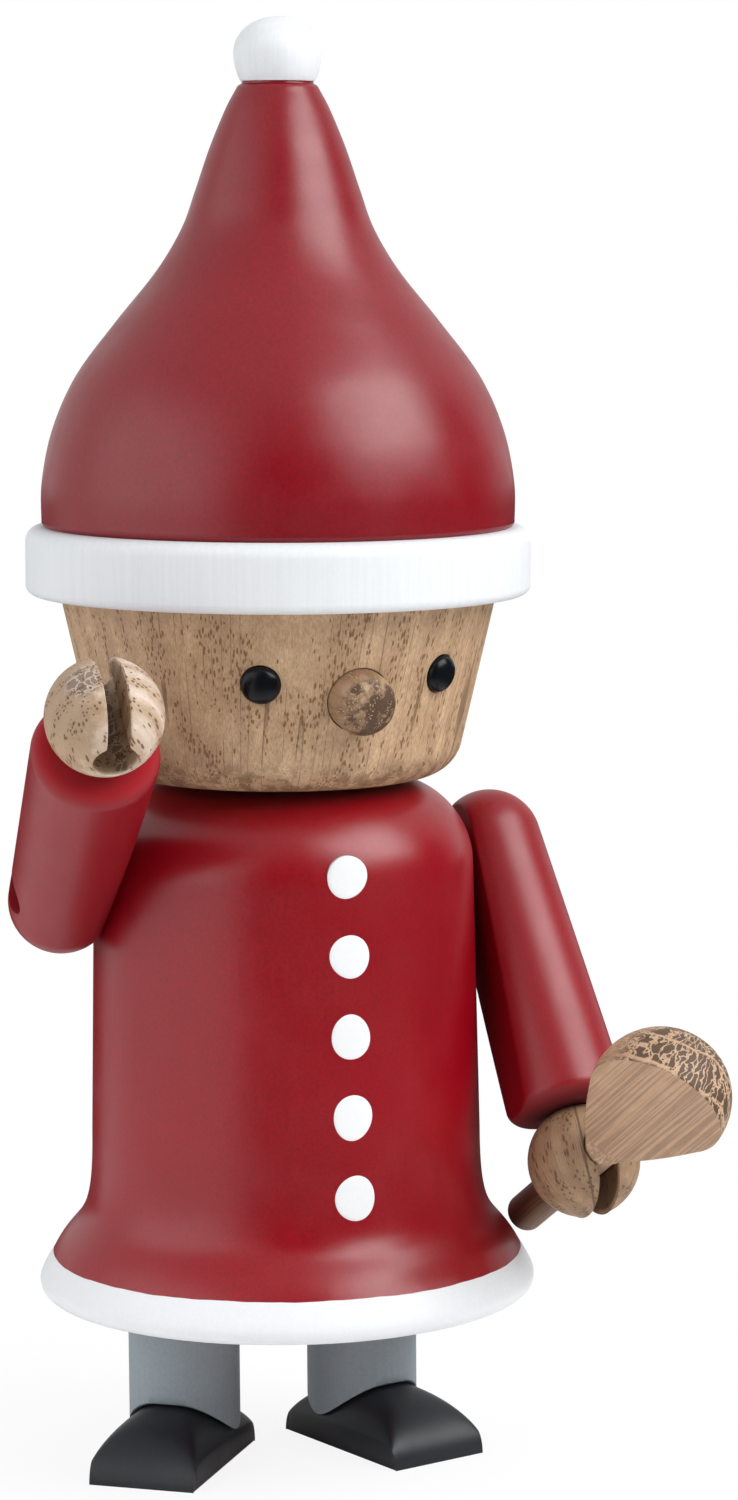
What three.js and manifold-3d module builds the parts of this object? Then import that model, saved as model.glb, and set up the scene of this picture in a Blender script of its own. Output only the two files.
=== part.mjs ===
// A turned wooden Christmas figure, standing in its coat and pointed hat with a wooden spoon in one hand.
// Lengths are millimetres and angles degrees. +Z is up, and the figure's face looks along -Y.
// "Right" and "left" are the figure's own, so its right hand is on the -X side.
import * as THREE from 'three';
import { mergeVertices } from 'three/addons/utils/BufferGeometryUtils.js';
import Module from 'manifold-3d';

const wasm = await Module();
wasm.setup();

// Driving dimensions: clearances
const glueGap = 0.3;
const turnGap = 0.3;
const handleGap = 0.2;
const holeEndGap = 0.6;

// Driving dimensions: shoes and legs
const shoeWidth = 15.2;
const shoeLength = 26.7;
const shoeHeight = 8.9;
const shoeWallHeight = 3.6;
const legDiameter = 15.6;
const legSpacing = 26.6;
const legSetBack = 6.3;
const shoeMiddleAhead = 5.1;
const rightToeOut = 37.3;
const leftToeOut = 15.5;
const ankleDowelDiameter = 4;
const ankleDowelInShoe = 4.5;
const ankleDowelInLeg = 5.5;
const hipDowelDiameter = 7.4;
const hipDowelInLeg = 6.5;
const hipDowelInCoat = 13;

// Driving dimensions: coat with its hem
const hemUnderside = 24.4;
const hemHeight = 5.7;
const hemRadius = 34.5;
const hemTopRadius = 32.65;
const hemRound = 1.9;
const spigotRadius = 24;
const coatHeight = 66;
const shoulderRound = 12;
const chestRadius = 26.25;
const waistRadius = 27;
const flareHeight = 16.9;
const flareReach = 13.9;
const flareRun = 3.3;
const flareDrop = 6.3;
const buttonCount = 5;
const buttonDiameter = 5.8;
const buttonPitch = 10.9;
const topButtonBelowCoatTop = 10.2;
const buttonDepth = 2;
const buttonProud = 0.25;

// Driving dimensions: head, face and neck
const headHeight = 25;
const headTopRadius = 29.95;
const headBottomRadius = 24.2;
const headRound = 5.8;
const headTurn = 3.8;
const headGap = 0.7;
const neckDowelDiameter = 10.4;
const neckDowelInCoat = 13;
const neckDowelInHead = 12;
const neckAside = -0.56;
const neckLean = 0.47;
const neckHeading = -20;
const eyeDiameter = 5.2;
const eyeAngle = 28;
const rightEyeAboveHeadBottom = 15.2;
const leftEyeAboveHeadBottom = 15.6;
const eyeDome = 1.5;
const eyeDepth = 2.2;
const noseDiameter = 8.6;
const noseAboveHeadBottom = 12.9;
const noseLength = 4.6;
const noseDome = 1.8;
const noseDepth = 4;

// Driving dimensions: hat, its band and its bobble
const bandRadius = 34.7;
const bandHeight = 9.25;
const bandTopRound = 2;
const bandBottomRound = 1.3;
const hatRadius = 32.4;
const hatHeight = 60.2;
const hatTipRadius = 4.85;
const bobbleRadius = 6;
const bobbleHeight = 8.7;
const bobbleWidestAt = 3.8;
const bobbleLowerReach = 7;
const crownDowelDiameter = 10;
const crownDowelInHead = 10;
const crownDowelInHat = 12;
const bobblePegDiameter = 3;
const bobblePegInHat = 6;
const bobblePegInBobble = 5;

// Driving dimensions: arms
const shoulderHeight = 82.5;
const shoulderSpread = 63.3;
const shoulderDomeRadius = 7.3;
const shoulderDomeRise = 3.2;
const sleeveLength = 37.85;
const cuffRadius = 8.5;
const cuffRound = 2.2;
const rightSplay = 6;
const leftSplay = 4.5;
const rightSwing = 127.9;
const leftSwing = 31;
const flatReach = 12;
const pinDiameter = 5.4;
const pinInCoat = 12;
const pinRecess = 3.5;
const handRadius = 7.75;
const handSink = 0.45;
const keyholeDiameter = 5.8;
const keyholeSlot = 3.3;
const leftKeyholeBelow = 0.25;
const rightHandTilt = -5;
const rightHandRoll = -4;
const rightHandTwist = 0.3;
const leftHandTilt = 1.3;
const leftHandTwist = 1.9;
const wristDowelDiameter = 4;
const wristDowelInSleeve = 8;

// Driving dimensions: spoon, measured along it from the middle of the hand
const spoonTailBehind = 22.8;
const spoonNeckAhead = 7.2;
const spoonHeadAhead = 26.6;
const spoonHeadRadius = 9.5;
const spoonHeadHalfLength = 10.2;
const spoonFaceDepth = 1.45;
const spoonFaceRoll = -136;
const spoonTailRound = 0.6;

// Sides of the turned pieces
const largeSides = 40;
const middleSides = 24;
const dowelSides = 16;

// Heights, stacked from the floor up
const coatBottom = hemUnderside + hemHeight;
const coatTop = coatBottom + coatHeight;
const headBottom = coatTop + headGap;
const headTop = headBottom + headHeight;
const bandTop = headTop + bandHeight;
const hatTip = bandTop + hatHeight;
const handleRadius = keyholeDiameter / 2 - handleGap;
const shoulderX = shoulderSpread / 2;
const handReach = sleeveLength + handRadius - handSink;

// Materials
const redPaint = { color: 0xa01f2b, roughness: 0.45, metalness: 0 };
const whitePaint = { color: 0xf3f2ef, roughness: 0.5, metalness: 0 };
const greyPaint = { color: 0x75797c, roughness: 0.6, metalness: 0 };
const blackPaint = { color: 0x232528, roughness: 0.5, metalness: 0 };
const blackGloss = { color: 0x0e0e0f, roughness: 0.12, metalness: 0 };
const bareOak = { color: 0xb9966f, roughness: 0.7, metalness: 0 };
const bareBeech = { color: 0xc9a77c, roughness: 0.75, metalness: 0 };

// Makes a geometry into a solid: shared corners become one, and the triangles that this flattens are dropped.
function solidOf(geometry) {
  const bare = geometry.clone();
  bare.deleteAttribute('normal');
  bare.deleteAttribute('uv');
  const merged = mergeVertices(bare, 1e-4);
  const corners = merged.index.array;
  const kept = [];
  for (let i = 0; i < corners.length; i += 3) {
    const [a, b, c] = [corners[i], corners[i + 1], corners[i + 2]];
    if (a !== b && b !== c && c !== a) kept.push(a, b, c);
  }
  const vertProperties = new Float32Array(merged.attributes.position.array);
  const triVerts = new Uint32Array(kept);
  return new wasm.Manifold(new wasm.Mesh({ numProp: 3, vertProperties, triVerts }));
}

function geometryOf(solid) {
  const mesh = solid.getMesh();
  const geometry = new THREE.BufferGeometry();
  geometry.setAttribute('position', new THREE.BufferAttribute(new Float32Array(mesh.vertProperties), 3));
  geometry.setIndex(new THREE.BufferAttribute(new Uint32Array(mesh.triVerts), 1));
  geometry.computeVertexNormals();
  return geometry;
}

// Cuts every tool geometry out of the body geometry.
function cut(body, tools) {
  let solid = solidOf(body);
  for (const tool of tools) solid = solid.subtract(solidOf(tool));
  return geometryOf(solid);
}

// Spins a profile of [radius, height] pairs, given from the bottom up, about Z.
function turned(profile, sides) {
  const points = profile.map(([radius, height]) => new THREE.Vector2(radius, height));
  return new THREE.LatheGeometry(points, sides).rotateX(Math.PI / 2);
}

// The points of a round stretch of a profile, from one angle to another, both in degrees from the outward direction.
function round(centreRadius, centreHeight, size, from, to, steps) {
  const points = [];
  for (let i = 0; i <= steps; i += 1) {
    const angle = THREE.MathUtils.degToRad(from + ((to - from) * i) / steps);
    points.push([centreRadius + size * Math.cos(angle), centreHeight + size * Math.sin(angle)]);
  }
  return points;
}

function curvePoints(curve, steps) {
  return curve.getPoints(steps).map((point) => [point.x, point.y]);
}

// A plain round rod standing on Z from one height to another.
function rod(diameter, from, to, sides = dowelSides) {
  const length = to - from;
  return new THREE.CylinderGeometry(diameter / 2, diameter / 2, length, sides)
    .rotateX(Math.PI / 2)
    .translate(0, 0, from + length / 2);
}

function box(sizeX, sizeY, sizeZ, x, y, z) {
  return new THREE.BoxGeometry(sizeX, sizeY, sizeZ).translate(x, y, z);
}

const figure = new THREE.Group();

function add(parent, name, geometry, material) {
  const mesh = new THREE.Mesh(geometry, new THREE.MeshStandardMaterial(material));
  mesh.name = name;
  parent.add(mesh);
}

// Shoe: an arch along its length crossed with an arch over its width, which meet in creases at the corners.
// Growing it by a margin gives the cutter that copes the leg's foot.
function shoeShape(margin) {
  const halfLength = shoeLength / 2 + margin;
  const halfWidth = shoeWidth / 2 + margin;
  const height = shoeHeight + margin;
  const rise = height - shoeWallHeight;
  const archRadius = (halfWidth ** 2 + rise ** 2) / (2 * rise);
  const archCentre = height - archRadius;
  const archStart = Math.asin((shoeWallHeight - archCentre) / archRadius);

  const along = new THREE.Shape();
  along.absellipse(0, 0, halfLength, height, 0, Math.PI, false);
  along.closePath();
  const lengthwise = new THREE.ExtrudeGeometry(along, { depth: 2 * halfWidth, bevelEnabled: false, curveSegments: 14 });
  lengthwise.translate(0, 0, -halfWidth).rotateX(Math.PI / 2).rotateZ(Math.PI / 2);

  const across = new THREE.Shape();
  across.moveTo(-halfWidth, 0);
  across.lineTo(halfWidth, 0);
  across.absarc(0, archCentre, archRadius, archStart, Math.PI - archStart, false);
  across.closePath();
  const crosswise = new THREE.ExtrudeGeometry(across, { depth: 2 * halfLength, bevelEnabled: false, curveSegments: 12 });
  crosswise.rotateX(Math.PI / 2).translate(0, halfLength, 0);

  return solidOf(lengthwise).intersect(solidOf(crosswise));
}

// Legs: painted dowels, coped over the shoe and turning on a smaller dowel in the coat's underside.
function leg(side, name, toeOut) {
  const group = new THREE.Group();
  group.position.set((side * legSpacing) / 2, legSetBack, 0);
  group.rotation.z = THREE.MathUtils.degToRad(side * toeOut);
  figure.add(group);

  const ankleHeight = shoeHeight * Math.sqrt(1 - (shoeMiddleAhead / (shoeLength / 2)) ** 2);
  const ankleBottom = ankleHeight - ankleDowelInShoe;
  const ankleTop = ankleHeight + ankleDowelInLeg;
  const hipBottom = hemUnderside - turnGap - hipDowelInLeg;
  const hipTop = hemUnderside + hipDowelInCoat;
  const ankleHole = rod(ankleDowelDiameter + 2 * glueGap, ankleBottom - holeEndGap, ankleTop + holeEndGap);
  const hipHole = rod(hipDowelDiameter + 2 * glueGap, hipBottom - holeEndGap, hipTop);

  const shoe = shoeShape(0).translate([0, -shoeMiddleAhead, 0]).subtract(solidOf(ankleHole));
  add(group, `${name}_shoe`, geometryOf(shoe), blackPaint);

  const foot = shoeShape(glueGap).translate([0, -shoeMiddleAhead, 0]);
  const post = solidOf(rod(legDiameter, shoeWallHeight, hemUnderside - turnGap, middleSides));
  const coped = post.subtract(foot).subtract(solidOf(ankleHole)).subtract(solidOf(hipHole));
  add(group, `${name}_leg`, geometryOf(coped), greyPaint);

  add(group, `${name}_ankle_dowel`, rod(ankleDowelDiameter, ankleBottom, ankleTop), bareBeech);
  add(group, `${name}_hip_dowel`, rod(hipDowelDiameter, hipBottom, hipTop), bareBeech);
}

// The coat's outside radius at a height above the flare.
function coatRadiusAt(height) {
  const flareTop = coatBottom + flareHeight;
  const roundStart = coatTop - shoulderRound;
  if (height > roundStart) {
    return chestRadius - shoulderRound + Math.sqrt(shoulderRound ** 2 - (height - roundStart) ** 2);
  }
  const share = (height - flareTop) / (roundStart - flareTop);
  return THREE.MathUtils.lerp(waistRadius, chestRadius, THREE.MathUtils.clamp(share, 0, 1));
}

const buttonHeights = Array.from(
  { length: buttonCount },
  (unused, index) => coatTop - topButtonBelowCoatTop - index * buttonPitch,
);

// Where the neck dowel and the head on it stand: a little off the coat's middle, and leaning a little out of plumb.
// The heading, from the figure's left, is the level direction of both.
function neckPlace() {
  const heading = THREE.MathUtils.degToRad(neckHeading);
  const across = new THREE.Vector3(-Math.sin(heading), Math.cos(heading), 0);
  const aside = new THREE.Vector3(Math.cos(heading), Math.sin(heading), 0).multiplyScalar(neckAside);
  return new THREE.Matrix4()
    .makeTranslation(aside.x, aside.y, coatTop)
    .multiply(new THREE.Matrix4().makeRotationAxis(across, THREE.MathUtils.degToRad(neckLean)))
    .multiply(new THREE.Matrix4().makeTranslation(0, 0, -coatTop));
}

// Coat: one turned piece, with a spigot below that the hem ring fits round.
function coat() {
  const flare = new THREE.CubicBezierCurve(
    new THREE.Vector2(hemTopRadius, coatBottom),
    new THREE.Vector2(hemTopRadius - flareRun, coatBottom + flareDrop),
    new THREE.Vector2(waistRadius, coatBottom + flareHeight - flareReach),
    new THREE.Vector2(waistRadius, coatBottom + flareHeight),
  );
  const profile = [
    [0, hemUnderside],
    [spigotRadius, hemUnderside],
    [spigotRadius, coatBottom],
    ...curvePoints(flare, 6),
    ...round(chestRadius - shoulderRound, coatTop - shoulderRound, shoulderRound, 0, 90, 5),
    [0, coatTop],
  ];
  const neckHole = rod(neckDowelDiameter + 2 * glueGap, coatTop - neckDowelInCoat - holeEndGap, coatTop + 1);
  const holes = [neckHole.applyMatrix4(neckPlace())];
  for (const side of [-1, 1]) {
    const hip = rod(hipDowelDiameter + 2 * turnGap, hemUnderside - 1, hemUnderside + hipDowelInCoat + holeEndGap);
    holes.push(hip.translate((side * legSpacing) / 2, legSetBack, 0));
    const wall = coatRadiusAt(shoulderHeight);
    const pin = rod(pinDiameter + 2 * glueGap, wall - pinInCoat - holeEndGap, wall + 2).rotateY((side * Math.PI) / 2);
    holes.push(pin.translate(0, 0, shoulderHeight));
  }
  for (const height of buttonHeights) {
    const wall = coatRadiusAt(height);
    const seat = rod(buttonDiameter + 2 * glueGap, wall - buttonDepth - glueGap, wall + 1).rotateX(Math.PI / 2);
    holes.push(seat.translate(0, 0, height));
  }
  add(figure, 'coat', cut(turned(profile, largeSides), holes), redPaint);
  const neck = rod(neckDowelDiameter, coatTop - neckDowelInCoat, headBottom + neckDowelInHead);
  add(figure, 'neck_dowel', neck.applyMatrix4(neckPlace()), bareBeech);
}

// Hem: a white ring round the coat's spigot, which carries the flare on to a rounded lower edge.
function hem() {
  const edge = new THREE.QuadraticBezierCurve(
    new THREE.Vector2(hemRadius, hemUnderside + hemRound),
    new THREE.Vector2(hemRadius, hemUnderside + hemHeight / 2),
    new THREE.Vector2(hemTopRadius, coatBottom),
  );
  const profile = [
    [0, hemUnderside],
    ...round(hemRadius - hemRound, hemUnderside + hemRound, hemRound, -90, 0, 4),
    ...curvePoints(edge, 4).slice(1),
    [0, coatBottom],
  ];
  const bore = rod(2 * (spigotRadius + glueGap), hemUnderside - 1, coatBottom + 1, largeSides);
  add(figure, 'hem_ring', cut(turned(profile, largeSides), [bore]), whitePaint);
}

// Buttons: short round plugs let into the coat's front.
function buttons() {
  buttonHeights.forEach((height, index) => {
    const wall = coatRadiusAt(height);
    const plug = rod(buttonDiameter, wall - buttonDepth, wall + buttonProud).rotateX(Math.PI / 2);
    add(figure, `button_${index + 1}`, plug.translate(0, 0, height), whitePaint);
  });
}

// Places a piece, made standing on Z, on the head's sloping wall at an angle from the front.
function onFace(geometry, angle, aboveBottom) {
  const slope = Math.atan2(headTopRadius - headBottomRadius, headHeight);
  const radius = headBottomRadius + Math.tan(slope) * aboveBottom;
  return geometry
    .rotateX(Math.PI / 2 + slope)
    .translate(0, -radius, headBottom + aboveBottom)
    .rotateZ(THREE.MathUtils.degToRad(angle));
}

function domedPeg(diameter, depth, length, dome, sides) {
  const radius = diameter / 2;
  const size = (radius ** 2 + dome ** 2) / (2 * dome);
  const start = THREE.MathUtils.radToDeg(Math.asin((size - dome) / size));
  const profile = [
    [0, -depth],
    [radius, -depth],
    ...round(0, length - size, size, start, 90, 4),
  ];
  profile[profile.length - 1][0] = 0;
  return turned(profile, sides);
}

// Head with everything that turns with it: face, hat band, hat and bobble.
function head() {
  const neckAxis = new THREE.Group();
  neckAxis.applyMatrix4(neckPlace());
  figure.add(neckAxis);
  const group = new THREE.Group();
  group.rotation.z = THREE.MathUtils.degToRad(headTurn);
  neckAxis.add(group);

  const slope = Math.atan2(headTopRadius - headBottomRadius, headHeight);
  const roundCentre = headBottomRadius + Math.tan(slope) * headRound - headRound / Math.cos(slope);
  const profile = [
    [0, headBottom],
    ...round(roundCentre, headBottom + headRound, headRound, -90, -THREE.MathUtils.radToDeg(slope), 6),
    [headTopRadius, headTop],
    [0, headTop],
  ];
  const eyeHole = () => rod(eyeDiameter + 2 * glueGap, -eyeDepth - glueGap, 3);
  const noseHole = rod(noseDiameter + 2 * glueGap, -noseDepth - glueGap, 3);
  const headHoles = [
    rod(neckDowelDiameter + 2 * turnGap, headBottom - 1, headBottom + neckDowelInHead + holeEndGap),
    rod(crownDowelDiameter + 2 * glueGap, headTop - crownDowelInHead - holeEndGap, headTop + 1),
    onFace(eyeHole(), -eyeAngle, rightEyeAboveHeadBottom),
    onFace(eyeHole(), eyeAngle, leftEyeAboveHeadBottom),
    onFace(noseHole, 0, noseAboveHeadBottom),
  ];
  add(group, 'head', cut(turned(profile, largeSides), headHoles), bareOak);

  const eye = () => domedPeg(eyeDiameter, eyeDepth, eyeDome, eyeDome, dowelSides);
  add(group, 'right_eye', onFace(eye(), -eyeAngle, rightEyeAboveHeadBottom), blackGloss);
  add(group, 'left_eye', onFace(eye(), eyeAngle, leftEyeAboveHeadBottom), blackGloss);
  const nose = domedPeg(noseDiameter, noseDepth, noseLength, noseDome, dowelSides);
  add(group, 'nose', onFace(nose, 0, noseAboveHeadBottom), bareOak);

  const bandProfile = [
    [0, headTop],
    ...round(bandRadius - bandBottomRound, headTop + bandBottomRound, bandBottomRound, -90, 0, 3),
    ...round(bandRadius - bandTopRound, bandTop - bandTopRound, bandTopRound, 0, 90, 4),
    [0, bandTop],
  ];
  const bandBore = rod(crownDowelDiameter + 2 * glueGap, headTop - 1, bandTop + 1);
  add(group, 'hat_band', cut(turned(bandProfile, largeSides), [bandBore]), whitePaint);

  add(group, 'hat', hat(), redPaint);
  add(group, 'bobble', bobble(), whitePaint);
  add(group, 'crown_dowel', rod(crownDowelDiameter, headTop - crownDowelInHead, bandTop + crownDowelInHat), bareBeech);
  add(group, 'bobble_peg', rod(bobblePegDiameter, hatTip - bobblePegInHat, hatTip + bobblePegInBobble), bareBeech);
}

// Hat: a bell that draws in to a slim tip. Its outline is given as shares of the way from tip to base radius,
// at shares of the height.
const hatOutline = [
  [1, 0],
  [0.997, 0.1],
  [0.942, 0.22],
  [0.824, 0.34],
  [0.628, 0.46],
  [0.425, 0.575],
  [0.3, 0.67],
  [0.232, 0.755],
  [0.161, 0.85],
  [0.084, 0.935],
  [0.008, 0.992],
  [0, 1],
];

function hat() {
  const corners = hatOutline.map(([radiusShare, heightShare]) => new THREE.Vector2(
    THREE.MathUtils.lerp(hatTipRadius, hatRadius, radiusShare),
    bandTop + hatHeight * heightShare,
  ));
  const profile = [[0, bandTop], ...curvePoints(new THREE.SplineCurve(corners), 16), [0, hatTip]];
  const holes = [
    rod(crownDowelDiameter + 2 * glueGap, bandTop - 1, bandTop + crownDowelInHat + holeEndGap),
    rod(bobblePegDiameter + 2 * glueGap, hatTip - bobblePegInHat - holeEndGap, hatTip + 1),
  ];
  return cut(turned(profile, largeSides), holes);
}

// Bobble: a round knob, half an oval above its widest line and the upper part of a longer one below it,
// where it is cut flat to sit on the hat's tip.
function bobble() {
  const widest = hatTip + bobbleWidestAt;
  const lowest = -Math.asin(bobbleWidestAt / bobbleLowerReach);
  const rise = bobbleHeight - bobbleWidestAt;
  const profile = [[0, hatTip]];
  const steps = 14;
  for (let i = 0; i < steps; i += 1) {
    const angle = lowest + ((Math.PI / 2 - lowest) * i) / steps;
    const reach = angle < 0 ? bobbleLowerReach : rise;
    profile.push([bobbleRadius * Math.cos(angle), i === 0 ? hatTip : widest + reach * Math.sin(angle)]);
  }
  profile.push([0, hatTip + bobbleHeight]);
  const pegHole = rod(bobblePegDiameter + 2 * glueGap, hatTip - 1, hatTip + bobblePegInBobble + holeEndGap);
  return cut(turned(profile, middleSides), [pegHole]);
}

// Arm: a sleeve planed flat on its inner side, where it bears on the coat, with a ball hand on its cuff.
// It is made hanging down from the pin, then swung forward. The splay comes from the planed side.
function arm(side, name, swing, lean, handTurns, keyholeBelow) {
  const group = new THREE.Group();
  group.position.set(side * shoulderX, 0, shoulderHeight);
  group.rotation.x = -THREE.MathUtils.degToRad(swing);
  figure.add(group);
  const splay = -side * THREE.MathUtils.degToRad(lean);

  const sleeveProfile = [
    [0, -sleeveLength],
    ...round(cuffRadius - cuffRound, cuffRound - sleeveLength, cuffRound, -90, 0, 3),
    ...round(0, shoulderDomeRise, shoulderDomeRadius, 0, 90, 6),
  ];
  sleeveProfile[sleeveProfile.length - 1][0] = 0;
  const wristHole = rod(
    wristDowelDiameter + 2 * glueGap,
    -sleeveLength - 1,
    -sleeveLength + wristDowelInSleeve + holeEndGap,
  );
  const bearing = coatRadiusAt(shoulderHeight - flatReach) + turnGap - shoulderX;
  const planed = box(20, 60, 120, side * (bearing - 10), 0, 0);
  const pinHole = rod(pinDiameter + 2 * turnGap, -20, 20).rotateY(Math.PI / 2);
  const sleeve = turned(sleeveProfile, middleSides).rotateY(splay);
  add(group, `${name}_sleeve`, cut(sleeve, [planed, pinHole, wristHole.rotateY(splay)]), redPaint);

  const pinStart = coatRadiusAt(shoulderHeight) - pinInCoat;
  const pinEnd = shoulderX + shoulderDomeRadius - pinRecess;
  const pin = rod(pinDiameter, pinStart, pinEnd).rotateY((side * Math.PI) / 2).translate(0, 0, shoulderHeight);
  add(figure, `${name}_shoulder_pin`, pin, bareBeech);

  const hand = new THREE.Group();
  hand.rotation.y = splay;
  group.add(hand);
  const grip = new THREE.Group();
  grip.position.set(0, 0, -handReach);
  const [tilt, roll, twist] = handTurns.map((turn) => THREE.MathUtils.degToRad(turn));
  grip.rotation.set(tilt, roll, twist, 'ZXY');
  hand.add(grip);

  const cuffFlat = handReach - sleeveLength - glueGap;
  const dowelInHand = handRadius - keyholeDiameter / 2 - 2 * holeEndGap;
  const ball = new THREE.SphereGeometry(handRadius, middleSides, 16).rotateX(Math.PI / 2);
  const keyhole = rod(keyholeDiameter, -20, 20).rotateX(Math.PI / 2).translate(0, 0, -keyholeBelow);
  const slot = box(keyholeSlot, 40, 20, 0, 0, -10);
  // The flat and the dowel's hole stay in line with the sleeve, whichever way the cross hole is drilled.
  const inLine = new THREE.Matrix4().makeRotationFromEuler(grip.rotation).invert();
  const flat = box(20, 20, 4, 0, 0, cuffFlat + 2).applyMatrix4(inLine);
  const wristDowelHole = rod(wristDowelDiameter + 2 * glueGap, handRadius - dowelInHand - holeEndGap, 20);
  const dowelHole = wristDowelHole.applyMatrix4(inLine);
  add(grip, `${name}_hand`, cut(ball, [keyhole, slot, flat, dowelHole]), bareOak);

  const dowel = rod(wristDowelDiameter, handRadius - handReach - dowelInHand, wristDowelInSleeve - sleeveLength);
  add(hand, `${name}_wrist_dowel`, dowel, bareBeech);
  return grip;
}

// Spoon: a handle that widens through a cone into an oval head, turned in one, then planed flat along one side
// from just ahead of the hand to the tip.
function spoon(grip) {
  const neckRun = spoonHeadAhead - spoonNeckAhead;
  // The angle round the oval, from its widest point, at which the cone touches it.
  const across = spoonHeadRadius * neckRun;
  const along = spoonHeadHalfLength * handleRadius;
  const reach = Math.asin((spoonHeadHalfLength * spoonHeadRadius) / Math.hypot(across, along));
  const touch = Math.atan2(along, across) - reach;
  const profile = [
    [0, -spoonTailBehind],
    [handleRadius - spoonTailRound, -spoonTailBehind],
    [handleRadius, -spoonTailBehind + spoonTailRound],
    [handleRadius, spoonNeckAhead],
  ];
  const steps = 10;
  for (let i = 0; i <= steps; i += 1) {
    const angle = touch + ((Math.PI / 2 - touch) * i) / steps;
    const radius = i === steps ? 0 : spoonHeadRadius * Math.cos(angle);
    profile.push([radius, spoonHeadAhead + spoonHeadHalfLength * Math.sin(angle)]);
  }
  const length = neckRun + spoonHeadHalfLength + 1;
  const planed = box(30, 30, length, 0, spoonFaceDepth + 15, spoonNeckAhead + length / 2);
  const body = turned(profile, middleSides).rotateZ(Math.PI / middleSides);
  const roll = THREE.MathUtils.degToRad(spoonFaceRoll);
  const carved = cut(body, [planed]).rotateX(Math.PI / 2).rotateY(roll);
  add(grip, 'spoon', carved.translate(0, 0, -leftKeyholeBelow), bareOak);
}

leg(-1, 'right', rightToeOut);
leg(1, 'left', leftToeOut);
coat();
hem();
buttons();
head();
arm(-1, 'right', rightSwing, rightSplay, [rightHandTilt, rightHandRoll, rightHandTwist], 0);
spoon(arm(1, 'left', leftSwing, leftSplay, [leftHandTilt, 0, leftHandTwist], leftKeyholeBelow));

// The origin is the middle of the bounding box, on the floor.
figure.updateMatrixWorld(true);
const bounds = new THREE.Box3().setFromObject(figure, true);
const middle = bounds.getCenter(new THREE.Vector3());
const part = new THREE.Group();
figure.position.set(-middle.x, -middle.y, -bounds.min.z);
part.add(figure);

export default part;
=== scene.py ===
"""A turned wooden Christmas figure in a red coat and pointed hat, with a wooden spoon in its left hand.

Lengths inside the sections are millimetres in the figure's own frame: x to its left, -y ahead and z up
from the floor, with the coat's axis at x = y = 0. Each skin is moved onto the CAD's coat axis, and made
metres, as it becomes a mesh.
"""
import math
from functools import partial

import bmesh
import bpy
import numpy as np
from mathutils import Matrix, Vector


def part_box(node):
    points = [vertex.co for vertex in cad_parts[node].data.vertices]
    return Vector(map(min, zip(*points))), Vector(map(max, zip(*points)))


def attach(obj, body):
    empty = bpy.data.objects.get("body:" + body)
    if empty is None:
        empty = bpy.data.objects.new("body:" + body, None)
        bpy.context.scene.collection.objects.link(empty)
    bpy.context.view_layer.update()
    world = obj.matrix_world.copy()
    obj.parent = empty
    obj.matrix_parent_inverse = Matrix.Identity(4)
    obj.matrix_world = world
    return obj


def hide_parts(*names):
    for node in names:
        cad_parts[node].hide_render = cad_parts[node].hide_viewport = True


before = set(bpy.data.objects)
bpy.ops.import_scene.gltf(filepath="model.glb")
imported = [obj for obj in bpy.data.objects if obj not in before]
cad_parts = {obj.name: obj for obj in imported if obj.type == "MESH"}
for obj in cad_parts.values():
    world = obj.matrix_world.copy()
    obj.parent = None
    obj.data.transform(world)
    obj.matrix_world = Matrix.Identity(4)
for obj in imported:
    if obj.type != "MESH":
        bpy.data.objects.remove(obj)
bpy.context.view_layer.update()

coat_low, coat_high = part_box("coat")
coat_axis = Vector(((coat_low.x + coat_high.x) / 2, (coat_low.y + coat_high.y) / 2, 0))
straight_up = Vector((0, 0, 1))


# Shoes. Each is one block of wood, rounded along its length and across its width, so that the two rounds
# meet in creases at the toe's corners. It is painted black and the leg is doweled to it.
shoe_half_width = 7.6
shoe_half_length = 13.35
shoe_height = 8.9
shoe_wall = 3.6
shoe_ahead = 5.1
shoe_edge = 0.25
crease_round = 0.35
crease_fade = 2.6
toe_out = {"right": 37.3, "left": 15.5}
leg_spot = {"right": (-13.3, 6.3), "left": (13.3, 6.3)}


def add_object(name, data):
    """Puts a new object that shows the data into the scene."""
    piece = bpy.data.objects.new(name, data)
    bpy.context.scene.collection.objects.link(piece)
    return piece


def skin(name, rings, placed=None, finish=None, body=None, stands_for=()):
    """Makes a closed mesh from rings[row, column, xyz]. Each ring closes on itself and is joined to the
    next by quads. The first and last have shrunk to a point or a line, which merging points closes."""
    rows, columns = rings.shape[:2]
    points = rings.reshape(-1, 3)
    if placed is not None:
        points = points @ np.array(placed.to_3x3()).T + np.array(placed.translation)
    points = points / 1000 + np.array(coat_axis)
    row, column = np.meshgrid(np.arange(rows - 1), np.arange(columns), indexing="ij")
    after = (column + 1) % columns
    this_ring, next_ring = row * columns, (row + 1) * columns
    corners = [this_ring + column, this_ring + after, next_ring + after, next_ring + column]
    mesh = bpy.data.meshes.new(name)
    mesh.from_pydata(points.tolist(), [], np.stack(corners, -1).reshape(-1, 4).tolist())
    shape = bmesh.new()
    shape.from_mesh(mesh)
    bmesh.ops.remove_doubles(shape, verts=shape.verts, dist=1e-6)
    bmesh.ops.recalc_face_normals(shape, faces=shape.faces)
    shape.to_mesh(mesh)
    shape.free()
    mesh.shade_smooth()
    mesh.set_sharp_from_angle(angle=math.radians(50))
    piece = add_object(name, mesh)
    if finish:
        mesh.materials.append(finish)
    if body:
        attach(piece, body)
    if stands_for:
        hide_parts(*stands_for)
    return piece


def soft_least(a, b, size):
    """The smaller of a and b, with the corner where they cross rounded over a length of about size."""
    return (a + b - np.sqrt((a - b) ** 2 + size ** 2)) / 2


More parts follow.
